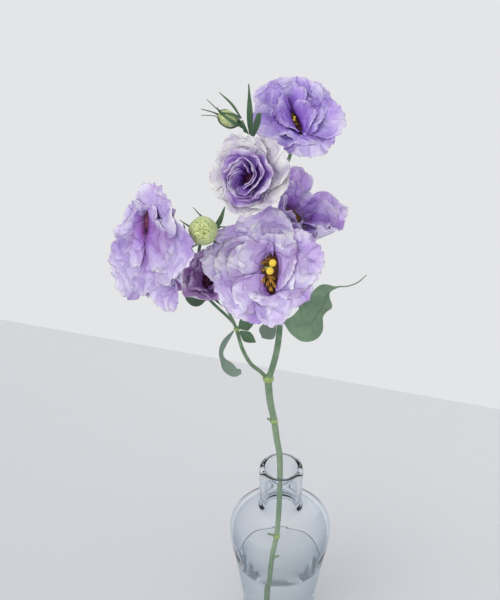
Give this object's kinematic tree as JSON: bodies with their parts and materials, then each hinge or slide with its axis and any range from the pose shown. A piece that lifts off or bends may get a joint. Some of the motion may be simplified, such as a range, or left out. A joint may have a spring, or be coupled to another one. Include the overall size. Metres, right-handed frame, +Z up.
{
  "type": "lisianthus flower",
  "caption": "Cut spray of ruffled double lilac lisianthus blooms with green buds on one forked leafy stem, standing in water in a narrow-necked clear glass bottle vase.",
  "frame": {"origin": "centre of the vase's flat foot, on the surface it stands on", "axes": "+Z up through the vase's neck, -Y towards the side that the front bloom faces, +X to the right seen from there"},
  "size_m": [0.1715, 0.0942, 0.4711],
  "materials": {
    "glass": "clear smooth glass",
    "water": "clear still water",
    "stem": "fresh green stem, waxy grey-green bloom, yellower at the joints",
    "leaf": "matt grey-green leaf with a paler midrib",
    "petal": "soft satin petal, lilac with violet veins and a pale ruffled edge",
    "pistil": "matt golden yellow stigma and olive-brown anthers",
    "bud": "matt yellow-green bud"
  },
  "bodies": {
    "root": {"glass_vase": "glass", "water": "water", "stem": "stem", "leaf_broad": "leaf", "leaf_upright": "leaf", "leaf_folded": "leaf", "leaf_sliver": "leaf", "leaf_behind": "leaf", "leaf_inner": "leaf", "leaf_low": "leaf", "leaf_twisted": "leaf", "leaf_bract": "leaf", "leaf_budside": "leaf", "bloom_front": "petal", "pistil_front": "pistil", "bloom_left": "petal", "pistil_left": "pistil", "bloom_top": "petal", "pistil_top": "pistil", "bloom_centre": "petal", "pistil_centre": "pistil", "bloom_right": "petal", "pistil_right": "pistil", "bloom_rear": "petal", "pistil_rear": "pistil", "bud_left": "bud", "bud_top": "bud"}
  },
  "joints": []
}
